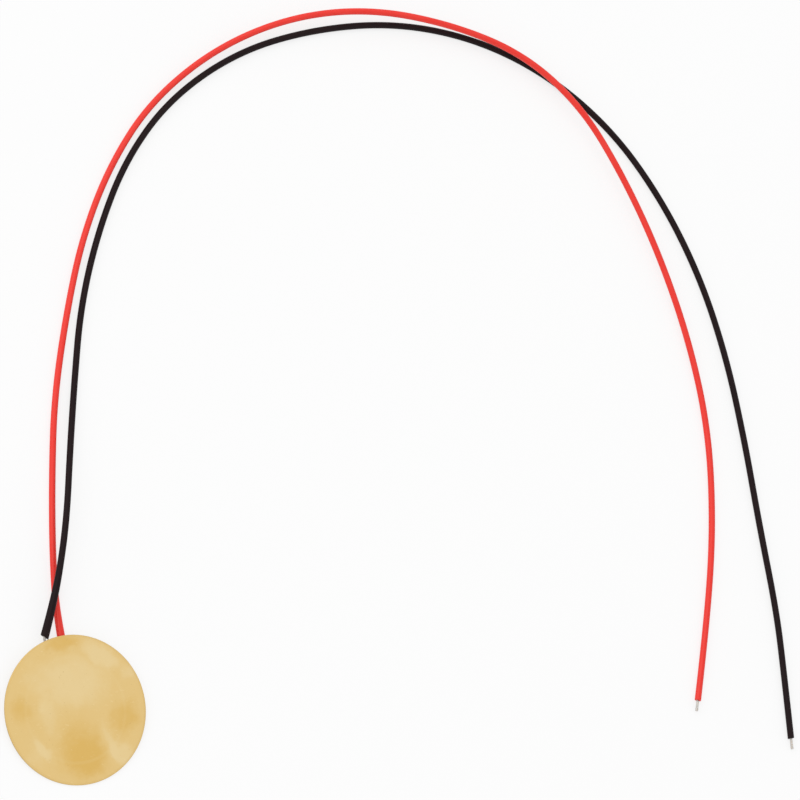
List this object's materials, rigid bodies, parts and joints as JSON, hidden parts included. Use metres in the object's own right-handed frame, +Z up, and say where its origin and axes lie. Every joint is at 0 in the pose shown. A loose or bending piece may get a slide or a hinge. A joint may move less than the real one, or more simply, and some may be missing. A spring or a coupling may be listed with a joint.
{
  "type": "piezo disc",
  "caption": "Thin round brass plate with a smaller piezo ceramic bonded beneath it, and long thin red and black leads soldered to the underside.",
  "frame": {"origin": "on the table, straight below the centre of the brass plate", "axes": "+Z up from the table on which the disc and its leads lie; the leads leave the plate towards +Y and loop over towards +X"},
  "size_m": [0.1159, 0.1106, 0.0028],
  "materials": {
    "brass": "rolled, satin",
    "adhesive": "cured epoxy",
    "fired_silver": "matt fired paste",
    "ceramic": "matt, unglazed",
    "solder": "satin, as it set",
    "red_pvc": "soft sheen",
    "black_pvc": "soft sheen",
    "tinned_copper": "tinned strand"
  },
  "bodies": {
    "root": {"brass_plate": "brass", "bond_film": "adhesive", "inner_electrode": "fired_silver", "ceramic_disc": "ceramic", "outer_electrode": "fired_silver", "red_solder_joint": "solder", "black_solder_joint": "solder", "red_insulation": "red_pvc", "red_conductor": "tinned_copper", "black_insulation": "black_pvc", "black_conductor": "tinned_copper"}
  },
  "joints": []
}
